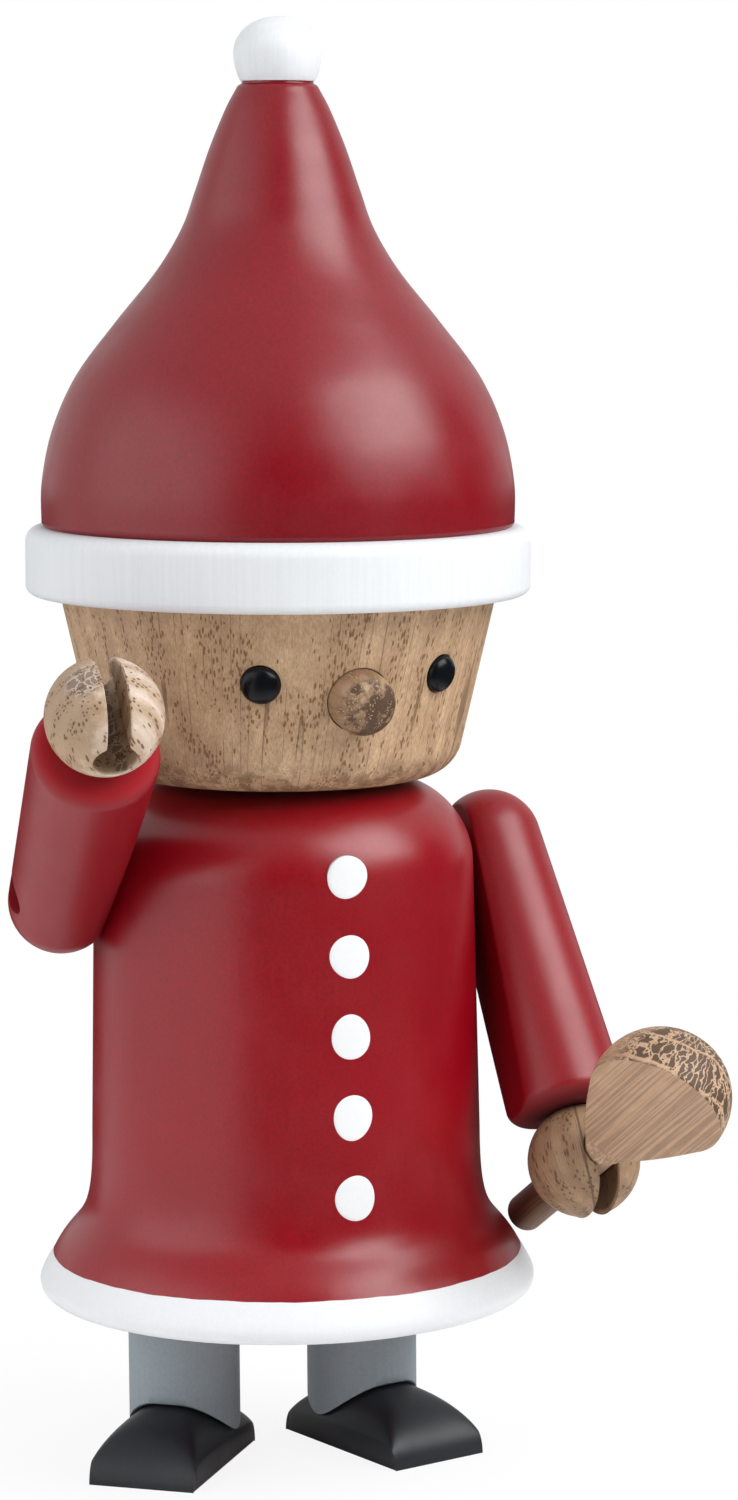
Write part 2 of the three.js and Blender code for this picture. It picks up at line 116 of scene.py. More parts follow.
def shoe_top(x, y, margin=0.0):
    """Height of the shoe's upper side: the lower of an ellipse along y and a circle of radius bow across x.
    The crease between them is rounder towards toe and heel, and margin moves the surface outwards."""
    height = shoe_height + margin
    half_width = shoe_half_width + margin
    rise = height - shoe_wall
    bow = (half_width ** 2 + rise ** 2) / (2 * rise)
    across = height - bow + np.sqrt(np.maximum(bow ** 2 - x ** 2, 0))
    along = height * np.sqrt(np.maximum(1 - (y / (shoe_half_length + margin)) ** 2, 0))
    toward_end = (y / (shoe_half_length + margin)) ** 2
    return soft_least(across, along, (crease_round + crease_fade * toward_end) * along / height)


def shoe_rings():
    """Sections across the shoe, from toe to heel. Each runs along the flat sole, round a small edge, up the
    wall, over the top and down again."""
    turn = np.linspace(-math.pi / 2, math.pi / 2, 121)
    y = (shoe_half_length * np.sin(turn))[:, None]
    swing = np.linspace(0, math.pi, 49)[None, :]
    x_over = shoe_half_width * np.cos(swing)
    z_over = shoe_top(x_over, y)
    edge = np.minimum(shoe_edge, 0.3 * z_over[:, :1])
    quarter = np.linspace(0, math.pi / 2, 5)[None, 1:]
    x_corner = shoe_half_width - edge + edge * np.sin(quarter)
    z_corner = edge - edge * np.cos(quarter)
    x_sole = -np.cos(swing) * (shoe_half_width - edge)
    x = np.concatenate([x_sole, x_corner, x_over + 0 * y, -x_corner[:, ::-1]], 1)
    z = np.concatenate([0 * x_sole, z_corner, z_over, z_corner[:, ::-1]], 1)
    return np.stack([x, y - shoe_ahead + 0 * x, z], -1)


def leg_place(side):
    """Stands a leg's own frame under the coat and turns its toe outwards."""
    x, y = leg_spot[side]
    turn = math.radians(toe_out[side]) * (1 if side == "left" else -1)
    return Matrix.Translation((x, y, 0)) @ Matrix.Rotation(turn, 4, "Z")


def plug(tree, node, inputs):
    """Fills each of a node's inputs with a value, or joins it to another node's output."""
    for key, value in inputs.items():
        socket = node.inputs[key]
        if isinstance(value, bpy.types.NodeSocket):
            tree.links.new(value, socket)
        elif socket.type == "RGBA":
            socket.default_value = (*value, 1)
        else:
            socket.default_value = value


def new_material(name, colour, roughness):
    """A principled material of one colour and roughness, with its node tree and its shader."""
    material = bpy.data.materials.new(name)
    material.use_nodes = True
    tree = material.node_tree
    shader = tree.nodes["Principled BSDF"]
    plug(tree, shader, {"Base Color": colour, "Roughness": roughness})
    return material, tree, shader


def add_node(tree, kind, inputs=None, **settings):
    """Adds a shader node of one kind, sets its settings, and then fills its inputs."""
    node = tree.nodes.new("ShaderNode" + kind)
    for key, value in settings.items():
        setattr(node, key, value)
    plug(tree, node, inputs or {})
    return node


def ramp(tree, factor, stops):
    """A ramp through the stops, each a place from 0 to 1 and a grey value."""
    node = add_node(tree, "ValToRGB", {"Fac": factor})
    elements = node.color_ramp.elements
    while len(elements) < len(stops):
        elements.new(0.5)
    for element, (place, value) in zip(elements, stops):
        element.position = place
        element.color = (value, value, value, 1)
    return node.outputs["Color"]


def mix(tree, factor, a, b, blend="MIX"):
    """Mixes two colours, or darkens the first by the second when the blend is MULTIPLY."""
    node = add_node(tree, "Mix", {0: factor, 6: a, 7: b}, data_type="RGBA", blend_type=blend,
                    clamp_factor=True)
    return node.outputs[2]


def noise(tree, where, scale, detail=2.0, roughness=0.5):
    """Noise whose blotches are about one over scale long, in the unit of where."""
    node = add_node(tree, "TexNoise", {"Vector": where, "Scale": scale, "Detail": detail,
                                       "Roughness": roughness})
    return node.outputs["Fac"]


def between(tree, value, low, high, to_low=0.0, to_high=1.0, **settings):
    """Maps the range from low to high onto the one from to_low to to_high, and stops at both its ends."""
    node = add_node(tree, "MapRange", {"Value": value, "From Min": low, "From Max": high,
                                       "To Min": to_low, "To Max": to_high}, **settings)
    return node.outputs["Result"]


def maths(tree, operation, a, b=0.0):
    """One step of arithmetic on numbers."""
    return add_node(tree, "Math", {0: a, 1: b}, operation=operation).outputs["Value"]


def vector_maths(tree, operation, a, b=None):
    """One step of arithmetic on vectors. Lengths and dot products come out as numbers."""
    node = add_node(tree, "VectorMath", {0: a} if b is None else {0: a, 1: b}, operation=operation)
    return node.outputs["Value" if operation in ("LENGTH", "DOT_PRODUCT") else "Vector"]


def bump(tree, height, strength, depth, under=None):
    """Tilts the surface as if height, from 0 to 1, raised it by depth metres over the bumps under it."""
    inputs = {"Height": height, "Strength": strength, "Distance": depth}
    if under is not None:
        inputs["Normal"] = under
    return add_node(tree, "Bump", inputs).outputs["Normal"]


def placed_coordinates(tree, centre, grain=(0, 0, 1)):
    """Object coordinates in metres with their zero at centre, turned so that z runs along the grain."""
    turn = Vector(grain).normalized().rotation_difference(straight_up).to_matrix()
    spot = Vector(centre) / 1000 + coat_axis
    coordinates = add_node(tree, "TexCoord")
    mapping = add_node(tree, "Mapping", {"Vector": coordinates.outputs["Object"],
                                         "Rotation": turn.to_euler(), "Location": -(turn @ spot)})
    return mapping.outputs["Vector"]


def painted(name, colour, shade, roughness, speckle, fibre, centre=(0, 0, 0), grain=(0, 0, 1)):
    """Brushed paint on turned wood: slow changes of shade, a fine sprayed grain, and the fibres just
    showing through. Colour and gloss are noise at a few scales, and three bumps lie on each other."""
    material, tree, shader = new_material(name, colour, roughness)
    where = placed_coordinates(tree, centre, grain)
    slow = ramp(tree, noise(tree, where, scale=45), [(0.3, 0.0), (0.7, 1.0)])
    fine = noise(tree, where, scale=2300, detail=3.0, roughness=0.7)
    fibres = noise(tree, vector_maths(tree, "MULTIPLY", where, (1.0, 1.0, 0.03)), scale=1500, roughness=0.6)
    gloss = noise(tree, where, scale=160, detail=4.0)
    dents = noise(tree, where, scale=130, detail=1.0)
    tone = mix(tree, slow, colour, shade)
    tone = mix(tree, 1.0, tone, ramp(tree, fine, [(0.36, 1.0 - speckle), (0.64, 1.0)]), "MULTIPLY")
    tone = mix(tree, 1.0, tone, ramp(tree, fibres, [(0.3, 1.0 - fibre), (0.7, 1.0)]), "MULTIPLY")
    gloss = between(tree, gloss, 0.3, 0.7, roughness - 0.04, roughness + 0.05)
    relief = bump(tree, fine, 0.2, 0.00003)
    relief = bump(tree, fibres, 0.2, 0.00003, relief)
    relief = bump(tree, dents, 0.25, 0.0003, relief)
    plug(tree, shader, {"Base Color": tone, "Roughness": gloss, "Normal": relief})
    return material


black_paint = painted("shoe_paint", (0.014, 0.0175, 0.022), (0.010, 0.013, 0.017), 0.40,
                      speckle=0.12, fibre=0.15)
black_paint.node_tree.nodes["Principled BSDF"].inputs["Specular IOR Level"].default_value = 0.4
for side in ("right", "left"):
    shoe = skin(f"{side}_shoe_carved", shoe_rings(), leg_place(side), black_paint,
                f"{side}_leg_and_shoe", [f"{side}_shoe"])


# Legs. Each is a length of thick dowel painted matte grey, hollowed below to sit on the shoe's round top,
# and turns on a thinner dowel in the underside of the coat.
leg_radius = 7.8
leg_edge = 0.3
leg_gap = 0.3
leg_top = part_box("right_leg")[1].z * 1000


def leg_rings():
    """Rings up the leg: its foot follows the shoe's top a little above it, its wall is straight and its top
    flat. The rings' radius grows over the foot, stays, and shrinks again over the top."""
    angle = np.linspace(0, 2 * math.pi, 160, endpoint=False)[None, :]
    rim = leg_radius - leg_edge
    foot_radius = np.minimum(leg_radius * np.linspace(0, 1, 12)[:, None], rim)
    wall = np.linspace(0, 1, 14)[:, None]
    radius = np.concatenate([foot_radius, leg_radius + 0 * wall, rim * np.linspace(1, 0, 5)[:, None]])
    x = radius * np.cos(angle)
    y = radius * np.sin(angle)
    rest = np.maximum(shoe_top(x, y + shoe_ahead, leg_gap), shoe_wall)
    start = rest[12:13] + leg_edge
    z_wall = start + (leg_top - leg_edge - start) * wall
    z_top = np.full((5, angle.size), leg_top)
    return np.stack([x, y, np.concatenate([rest[:12], z_wall, z_top])], -1)


grey_paint = painted("leg_paint", (0.280, 0.328, 0.358), (0.256, 0.302, 0.331), 0.62,
                     speckle=0.10, fibre=0.06)
for side in ("right", "left"):
    leg = skin(f"{side}_leg_turned", leg_rings(), leg_place(side), grey_paint,
               f"{side}_leg_and_shoe", [f"{side}_leg"])


# Coat. One turned piece of wood with rounded shoulders and a skirt that flares out to the hem, painted in
# satin red. A spigot below it carries the hem. The paint's lower edge was drawn with a hand-held brush.
coat_bottom = 30.1
coat_top = 96.1
shoulder_round = 12.0
chest_radius = 26.25
waist_radius = 27.0
flare_top = 47.0
waist_pull = 13.9
hem_pull_in = 3.3
hem_pull_up = 6.3
hem_top_radius = 32.65
hem_underside = 24.4
spigot_radius = 24.0
seam_wave = 0.14


def arc(centre_radius, centre_height, size, start, end, steps):
    """Points (radius, height) on a circle's arc, between two angles in degrees from straight outwards."""
    angle = np.radians(np.linspace(start, end, steps))
    return np.stack([centre_radius + size * np.cos(angle), centre_height + size * np.sin(angle)], -1)


def line(start, end, steps):
    """Evenly spaced points from one (radius, height) to another."""
    share = np.linspace(0, 1, steps)[:, None]
    return np.array(start) * (1 - share) + np.array(end) * share


def bezier(a, b, c, d, steps):
    """A cubic curve from a to d that leaves towards b and arrives from c."""
    t = np.linspace(0, 1, steps)[:, None]
    a, b, c, d = (np.array(point) for point in (a, b, c, d))
    return a * (1 - t) ** 3 + 3 * b * t * (1 - t) ** 2 + 3 * c * t ** 2 * (1 - t) + d * t ** 3


def turned(profile, sides=192):
    """Spins a profile of (radius, height) rows about the upright axis."""
    angle = np.linspace(0, 2 * math.pi, sides, endpoint=False)[None, :]
    radius = profile[:, :1]
    return np.stack([radius * np.cos(angle), radius * np.sin(angle), profile[:, 1:] + 0 * angle], -1)


def brush_wave(angle, size):
    """The unsteady edge that a brush leaves as the piece turns: four sine waves of falling strength."""
    waves = ((0.5, 3, 1.1), (0.3, 11, 0.4), (0.2, 29, 2.0), (0.12, 61, 0.0))
    return size * sum(strength * np.sin(count * angle + shift) for strength, count, shift in waves)


def waved_seam(rings, height, reach, size):
    """Raises and lowers the rings near a painted seam by the brush's wave, which fades out evenly within
    reach of it. The rings themselves are changed."""
    angle = np.arctan2(rings[..., 1], rings[..., 0])
    near = np.clip(1 - np.abs(rings[..., 2] - height) / reach, 0, 1)
    rings[..., 2] += near * brush_wave(angle, size)
    return rings


spigot = np.concatenate([
    line((0, hem_underside), (spigot_radius, hem_underside), 3),
    line((spigot_radius, hem_underside), (spigot_radius, coat_bottom), 3),
])
coat_wall = np.concatenate([
    bezier((hem_top_radius, coat_bottom), (hem_top_radius - hem_pull_in, coat_bottom + hem_pull_up),
           (waist_radius, flare_top - waist_pull), (waist_radius, flare_top), 60),
    line((waist_radius, flare_top), (chest_radius, coat_top - shoulder_round), 30)[1:],
])
coat_shoulder = np.concatenate([
    arc(chest_radius - shoulder_round, coat_top - shoulder_round, shoulder_round, 0, 90, 30)[1:],
    line((chest_radius - shoulder_round, coat_top), (0, coat_top), 6)[1:],
])
coat_rings = turned(np.concatenate([spigot, coat_wall, coat_shoulder]), 224)
above_spigot = coat_rings[len(spigot):]
waved_seam(above_spigot, coat_bottom, 2.5, seam_wave)
red_paint = painted("coat_paint", (0.300, 0.0008, 0.0080), (0.276, 0.0006, 0.0066), 0.32,
                    speckle=0.24, fibre=0.05)
coat = skin("coat_turned", coat_rings, None, red_paint, "torso", ["coat"])


# Hem. A ring of wood round the coat's spigot, painted white. It carries the skirt's flare on to a rounded
# lower edge, and its upper edge follows the same brush stroke as the coat's.
hem_radius = 34.5
hem_round = 1.9
hem_upright = 2.85
spread = np.linspace(0, 1, 16)[:, None]
edge_low, edge_mid, edge_top = (np.array(point) for point in (
    (hem_radius, hem_underside + hem_round),
    (hem_radius, hem_underside + hem_upright),
    (hem_top_radius, coat_bottom),
))
hem_edge = edge_low * (1 - spread) ** 2 + 2 * edge_mid * spread * (1 - spread) + edge_top * spread ** 2
hem_profile = np.concatenate([
    line((0, hem_underside + 0.02), (hem_radius - hem_round, hem_underside), 6),
    arc(hem_radius - hem_round, hem_underside + hem_round, hem_round, -90, 0, 14)[1:],
    hem_edge[1:],
    line((hem_top_radius, coat_bottom), (spigot_radius, coat_bottom), 3)[1:],
    line((spigot_radius, coat_bottom), (0, coat_bottom), 3)[1:],
])
hem_rings = waved_seam(turned(hem_profile, 224), coat_bottom, 2.0, seam_wave)
border_paint = painted("border_paint", (0.782, 0.801, 0.824), (0.760, 0.780, 0.805), 0.48,
                       speckle=0.03, fibre=0.02)
hem = skin("hem_painted", hem_rings, None, border_paint, "torso", ["hem_ring"])


# Buttons. Five round spots of thick white paint down the front of the coat, dabbed on one by one, so that
# each is a little uneven at its edge and the lower ones came out a little taller and to one side.
button_half_height = 2.9
button_half_width = 0.955 * button_half_height
button_growth = 0.017
button_lift = 0.16
button_sunk = 0.5
button_heights = [85.9, 75.2, 64.35, 53.45, 42.5]
button_shifts = [-0.2, 0.0, 0.0, 0.12, 0.26]


def button_rings(index):
    """A thin drop laid on the coat's wall: an ellipse whose edge wanders by two sine waves, with a front
    that rounds over towards it, and a back that lies in the wall."""
    seed = 1.7 * index + 0.6
    tall = (1.0 + button_growth * index) * button_half_height
    angle = np.linspace(0, 2 * math.pi, 72, endpoint=False)[None, :]
    wander = 1 + 0.02 * np.sin(2 * angle + seed) + 0.015 * np.sin(3 * angle + 2.3 * seed)
    face = np.linspace(0, 1, 14)[:, None]
    lift = button_lift * np.sqrt(np.maximum(1 - face ** 6, 0)) + 0.02
    back = np.array([[1.0], [0.5], [0.0]])
    reach = np.concatenate([face, back])
    rise = np.concatenate([lift, np.full_like(back, -button_sunk)])
    x = button_shifts[index] + reach * button_half_width * wander * np.cos(angle)
    z = button_heights[index] + reach * tall * wander * np.sin(angle)
    wall = np.interp(z, coat_wall[:, 1], coat_wall[:, 0])
    y = -np.sqrt(wall ** 2 - x ** 2) - rise
    return np.stack([x, y, z], -1)


button_paint = painted("button_paint", (0.785, 0.797, 0.806), (0.767, 0.781, 0.792), 0.45,
                       speckle=0.02, fibre=0.0)
for index in range(len(button_heights)):
    button = skin(f"button_spot_{index + 1}", button_rings(index), None, button_paint, "torso",
                  [f"button_{index + 1}"])


# Head. A cone of oak standing on its narrow end, its lower edge rounded, left bare. Eyes and nose sit in
# drilled holes, and the whole head turns on a dowel in the coat.
head_bottom = 96.8
head_top = 121.8
head_top_radius = 29.95
head_bottom_radius = 24.2
head_round = 5.8
head_turn = math.radians(3.8)
neck_aside = -0.56
neck_lean = math.radians(0.47)
neck_heading = math.radians(-20)
head_slope = math.atan2(head_top_radius - head_bottom_radius, head_top - head_bottom)
eye_radius = 2.6
eye_clearance = 0.12
nose_radius = 4.3
nose_clearance = 0.16
eye_angle = 28


def neck_place():
    """Where the neck dowel stands: a little off the coat's axis and leaning, both along one heading."""
    along = Vector((math.cos(neck_heading), math.sin(neck_heading), 0))
    across = Vector((-math.sin(neck_heading), math.cos(neck_heading), 0))
    foot = Matrix.Translation(along * neck_aside + Vector((0, 0, coat_top)))
    return foot @ Matrix.Rotation(neck_lean, 4, across) @ Matrix.Translation((0, 0, -coat_top))


head_place = neck_place() @ Matrix.Rotation(head_turn, 4, "Z")


def face_place(angle, above_bottom):
    """Puts a peg that stands on z onto the head's sloping wall, at an angle from straight ahead."""
    radius = head_bottom_radius + math.tan(head_slope) * above_bottom
    lean = Matrix.Rotation(math.pi / 2 + head_slope, 4, "X")
    ahead = Matrix.Translation((0, -radius, head_bottom + above_bottom))
    return head_place @ Matrix.Rotation(math.radians(angle), 4, "Z") @ ahead @ lean


def drill(piece, holes):
    """Cuts round holes, each given by its place, radius, lowest and highest point on its own z."""
    for place, radius, low, high in holes:
        wall = line((radius, low), (radius, high), 2)
        bit = skin("bit", turned(np.concatenate([[[0, low]], wall, [[0, high]]]), 96), place)
        bore = piece.modifiers.new("bore", "BOOLEAN")
        bore.operation = "DIFFERENCE"
        bore.solver = "EXACT"
        bore.object = bit
        bpy.context.view_layer.update()
        cut = bpy.data.meshes.new_from_object(piece.evaluated_get(bpy.context.evaluated_depsgraph_get()))
        piece.modifiers.clear()
        piece.data = cut
        bpy.data.objects.remove(bit)
    piece.data.set_sharp_from_angle(angle=math.radians(35))


def oak(name, light, mid, dark, pore, centre, grain, pith, ring, pores, patches=0.0, patch_size=None,
        pure_end=(0.6, 0.25), end_pores=None, bend=7.0, blotches=0.0, blotch_scale=0.55, streak=0.2,
        lines=0.0, cracks=0.0, hollow_shade=None, tan_side=None, ends_from=None, split=None):
    """Oak in the round, in millimetres. Growth rings wind about a pith, given by the way to it from the
    centre, and their inner part is full of pores, given by their spacing across and along the grain,
    their size and their share: long dashes along the grain and dots across it. Where the grain ends at
    the surface, pale rays part dark patches. Lines are straight streaks along the grain, and the hollow
    colour is painted shade, darkening what lies inside a ball hand's skin. Tan_side is the way to the
    browner side, patches start at ends_from along the grain, and split is a plane, as its normal and its
    distance from the centre, in which the wood has cracked."""
    material, tree, shader = new_material(name, mid, 0.6)
    metres = placed_coordinates(tree, centre, grain)
    turn = Vector(grain).normalized().rotation_difference(straight_up)
    pith_way = turn @ Vector(pith)
    number = partial(maths, tree)
    times = partial(maths, tree, "MULTIPLY")
    vector = partial(vector_maths, tree)
    stretch = partial(vector_maths, tree, "MULTIPLY")

    def fall(value, full, none, top=1.0):
        """Top where the value is at full or past it, down to nothing at none."""
        return between(tree, value, none, full, 0.0, top)

    def sway(at, scale, detail):
        """Noise with a value of its own along each of the three axes."""
        cloud = add_node(tree, "TexNoise", {"Vector": at, "Scale": scale, "Detail": detail})
        return cloud.outputs["Color"]

    where = stretch(metres, (1000, 1000, 1000))
    drift = sway(stretch(where, (0.09, 0.09, 0.055)), 1.0, 2.0)
    bent = vector("ADD", where, stretch(drift, (bend, bend, 0.0)))
    grown = vector("ADD", where, stretch(drift, (1.2, 1.2, 0.0)))
    flat = stretch(vector("SUBTRACT", bent, (pith_way.x, pith_way.y, 0)), (1, 1, 0))
    reach = vector("LENGTH", flat)
    phase = number("FRACT", number("DIVIDE", reach, ring))
    early = ramp(tree, phase, [(0.0, 1.0), (0.30, 0.9), (0.46, 0.12), (0.92, 0.05), (1.0, 1.0)])

    def pore_field(across, along, size, share, shift=0.0):
        """Dots of one size, each in a cell of across by along, of which a share is kept by lot."""
        moved = vector("ADD", grown, (shift, shift, shift))
        cells = stretch(moved, (1 / across, 1 / across, 1 / along))
        spots = add_node(tree, "TexVoronoi", {"Vector": cells, "Scale": 1.0, "Randomness": 0.9})
        lot = add_node(tree, "SeparateColor", {"Color": spots.outputs["Color"]}).outputs["Red"]
        kept = number("LESS_THAN", lot, share)
        return times(fall(spots.outputs["Distance"], size * 0.65, size), kept)

    normal = add_node(tree, "TexCoord").outputs["Normal"]
    facing = number("ABSOLUTE", vector("DOT_PRODUCT", normal, tuple(Vector(grain).normalized())))
    ends = fall(facing, *pure_end)
    if ends_from is not None:
        height = add_node(tree, "SeparateXYZ", {0: where}).outputs["Z"]
        ends = times(ends, fall(height, ends_from + 2.0, ends_from))
    across, along, size, pore_share = pores
    end_share = pore_share if end_pores is None else end_pores
    share = number("ADD", pore_share, times(ends, end_share - pore_share))
    often = times(early, share)
    large = number("MAXIMUM", pore_field(across, along, size, often),
                   pore_field(0.8 * across, 0.75 * along, size, times(often, 0.8), shift=31.7))
    small = pore_field(0.22, 1.1, 0.26, 0.28)

    hair = stretch(grown, (1.0, 1.0, 0.035))
    fibres = noise(tree, hair, 5.5, 4.0, 0.7)
    broad = noise(tree, hair, 0.7)
    ring_tone = ramp(tree, phase, [(0.0, 0.7), (0.3, 0.45), (0.55, 0.0), (0.85, 0.3), (1.0, 0.7)])
    tone = mix(tree, ring_tone, light, mid)
    tone = mix(tree, ramp(tree, broad, [(0.35, 0.0), (0.7, 0.55)]), tone, mid)
    clouds = noise(tree, where, 0.3, 3.0, 0.6)
    browner = 0.0
    mottled = 0.45
    if tan_side is not None:
        browner = times(vector("DOT_PRODUCT", where, tuple(turn @ Vector(tan_side))), 0.05)
        mottled = 0.85
    mottle = ramp(tree, number("ADD", clouds, browner), [(0.42, 0.0), (0.62, mottled)])
    tone = mix(tree, mottle, tone, mid)
    tone = mix(tree, 1.0, tone, ramp(tree, fibres, [(0.32, 1.0 - streak), (0.6, 1.0)]), "MULTIPLY")

    if lines > 0:
        straight = stretch(where, (1.0, 1.0, 0.012))
        drawn = ramp(tree, noise(tree, straight, 3.4, 1.0), [(0.42, 1.0 - lines), (0.56, 1.0)])
        tone = mix(tree, 1.0, tone, drawn, "MULTIPLY")
    if cracks > 0:
        apart = add_node(tree, "SeparateXYZ", {0: where}).outputs
        around = times(number("ARCTAN2", apart["X"], apart["Y"]), 27.0)
        along = times(apart["Z"], 0.012)
        unrolled = add_node(tree, "CombineXYZ", {"X": around, "Y": along})
        thread = noise(tree, unrolled.outputs["Vector"], 0.42, 0.0)
        middle = [(0.0, 0.0), (0.487, 0.0), (0.497, 1.0), (0.503, 1.0), (0.513, 0.0)]
        places = fall(noise(tree, where, 0.12, 1.0), 0.50, 0.42, cracks)
        tone = mix(tree, times(ramp(tree, thread, middle), places), tone, dark)

    if patches > 0:
        far = math.hypot(pith_way.x, pith_way.y)
        wide, deep = patch_size
        around = stretch(vector("NORMALIZE", flat), (far / wide, far / wide, 0))
        step_out = add_node(tree, "CombineXYZ", {"Z": number("DIVIDE", reach, deep)})
        wander = stretch(sway(where, 1.2, 1.0), (0.8, 0.8, 0.8))
        rays_at = vector("ADD", vector("ADD", around, step_out.outputs["Vector"]), wander)
        cells = add_node(tree, "TexVoronoi", {"Vector": rays_at, "Scale": 1.0, "Randomness": 1.0},
                         feature="DISTANCE_TO_EDGE").outputs["Distance"]
        inside = fall(cells, 0.085, 0.03)
        late = ramp(tree, phase, [(0.0, 0.0), (0.02, 0.0), (0.09, 1.0), (0.95, 1.0), (0.99, 0.0)])
        shade = times(times(inside, late), times(ends, patches))
        tone = mix(tree, times(ends, 0.6 * patches), tone, light)
        tone = mix(tree, shade, tone, dark)
    if blotches > 0:
        spread = number("ADD", noise(tree, where, blotch_scale, 3.0, 0.6), browner)
        end_grain = fall(facing, 0.60, 0.25)
        tone = mix(tree, times(fall(spread, 0.58, 0.44, blotches), end_grain), tone, dark)
    if split is not None:
        *across_split, off = split
        gap = vector("DOT_PRODUCT", grown, tuple(turn @ Vector(across_split)))
        gap = number("ABSOLUTE", number("SUBTRACT", gap, off))
        tone = mix(tree, fall(gap, 0.10, 0.22, 0.95), tone, dark)

    tone = mix(tree, times(small, 0.22), tone, pore)
    tone = mix(tree, times(large, 0.9), tone, pore)
    # Painted shade: the hollow colour darkens the inside of a hand's hole and slot.
    if hollow_shade:
        shade_inside = fall(vector("LENGTH", where), 7.1, 7.45)
        tone = mix(tree, shade_inside, tone, hollow_shade, "MULTIPLY")
    gloss = between(tree, fibres, 0.3, 0.7, 0.66, 0.54)
    relief = bump(tree, number("SUBTRACT", 1.0, large), 0.5, 0.0001)
    relief = bump(tree, fibres, 0.3, 0.00006, relief)
    plug(tree, shader, {"Base Color": tone, "Roughness": gloss, "Normal": relief})
    return material


round_top_radius = head_bottom_radius + math.tan(head_slope) * head_round
head_round_centre = round_top_radius - head_round / math.cos(head_slope)
head_profile = np.concatenate([
    line((0, head_bottom), (head_round_centre, head_bottom), 4),
    arc(head_round_centre, head_bottom + head_round, head_round, -90, -math.degrees(head_slope), 24)[1:],
    line((round_top_radius, head_bottom + head_round), (head_top_radius, head_top), 30)[1:],
    line((head_top_radius, head_top), (0, head_top), 4)[1:],
])
eye_spots = {"right": face_place(-eye_angle, above_bottom=15.2),
             "left": face_place(eye_angle, above_bottom=15.6)}
nose_spot = face_place(0, above_bottom=12.9)
head_wood = oak("head_oak", light=(0.640, 0.430, 0.255), mid=(0.430, 0.265, 0.145),
                dark=(0.170, 0.092, 0.046), pore=(0.180, 0.078, 0.022), centre=(0, 0, 108),
                grain=(0.09, 0.03, 1.0), pith=(-20, -62, 0), ring=5.2, pores=(0.52, 2.1, 0.36, 0.8),
                blotches=0.7, streak=0.42, cracks=0.82)
head = skin("head_turned", turned(head_profile), head_place, head_wood)
eye_hole = (eye_radius + eye_clearance, -2.5, 4)
nose_hole = (nose_radius + nose_clearance, -4, 6)
drill(head, [(eye_spots["right"], *eye_hole), (eye_spots["left"], *eye_hole), (nose_spot, *nose_hole)])
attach(head, "head_and_hat")
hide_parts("head")


# Eyes. Two small round-headed pegs, pressed into holes in the head. They are gloss black, and a little
# smeared as things are that have been touched.
def dome_profile(radius, depth, rise, squareness):
    """A peg whose proud end is a squashed ball: an ellipse of radius by rise whose cosine and sine are
    raised to a power, so that it gets squarer as squareness grows past 2."""
    turn = np.linspace(0, math.pi / 2, 28)
    power = 2 / squareness
    head_part = np.stack([radius * np.cos(turn) ** power, rise * np.sin(turn) ** power], -1)
    head_part[-1, 0] = 0
    return np.concatenate([[[0, -depth]], line((radius, -depth), (radius, 0), 4)[:-1], head_part])


eye_gloss, tree, shader = new_material("eye_gloss", (0.004, 0.005, 0.007), 0.24)
smear = noise(tree, placed_coordinates(tree, (0, 0, 108)), scale=600, detail=3.0)
plug(tree, shader, {"Specular IOR Level": 0.20, "Roughness": between(tree, smear, 0.3, 0.7, 0.19, 0.28)})
eye_profile = dome_profile(eye_radius, depth=2.2, rise=1.5, squareness=2.1)
for side, spot in eye_spots.items():
    eye = skin(f"{side}_eye_peg", turned(eye_profile, 72), spot, eye_gloss, "head_and_hat", [f"{side}_eye"])


# Nose. A short thick oak dowel glued into its hole, with a rounded front that shows the end of the grain,
# where oil or wax has drawn in and left brown patches.
nose_collar = 1.4
nose_axis = nose_spot.to_3x3() @ straight_up
nose_centre = nose_spot.translation - Vector((1.4, -0.5, -1.1))
nose_wood = oak("nose_oak", light=(0.480, 0.315, 0.190), mid=(0.250, 0.140, 0.070),
                dark=(0.082, 0.040, 0.018), pore=(0.42, 0.28, 0.17), centre=nose_centre, grain=nose_axis,
                pith=(-16, 0, 9), ring=2.8, pores=(0.45, 2.0, 0.30, 0.9), blotches=0.98,
                blotch_scale=0.50, bend=3.0, tan_side=(0.36, -0.13, -0.29))
nose_profile = dome_profile(nose_radius, depth=3.8, rise=3.2, squareness=2.5)
nose_profile[nose_profile[:, 1] >= 0, 1] += nose_collar
nose = skin("nose_peg", turned(nose_profile, 96), nose_spot, nose_wood, "head_and_hat", ["nose"])


# Hat band. A flat turned disc of wood with rounded edges, painted white and glued between the head and
# the hat. Its lower edge is rounded less than its upper one.
band_radius = 34.62
band_top = 131.05
low_round = 1.3
high_round = 2
band_profile = np.concatenate([
    line((0, head_top), (band_radius - low_round, head_top), 4),
    arc(band_radius - low_round, head_top + low_round, low_round, -90, 0, 12)[1:],
    line((band_radius, head_top + low_round), (band_radius, band_top - high_round), 8)[1:],
    arc(band_radius - high_round, band_top - high_round, high_round, 0, 90, 14)[1:],
    line((band_radius - high_round, band_top), (0, band_top), 4)[1:],
])
band_paint = painted("band_paint", (0.718, 0.741, 0.766), (0.704, 0.728, 0.755), 0.5,
                     speckle=0.02, fibre=0.05)
band = skin("hat_band_turned", turned(band_profile, 224), head_place, band_paint,
            "head_and_hat", ["hat_band"])


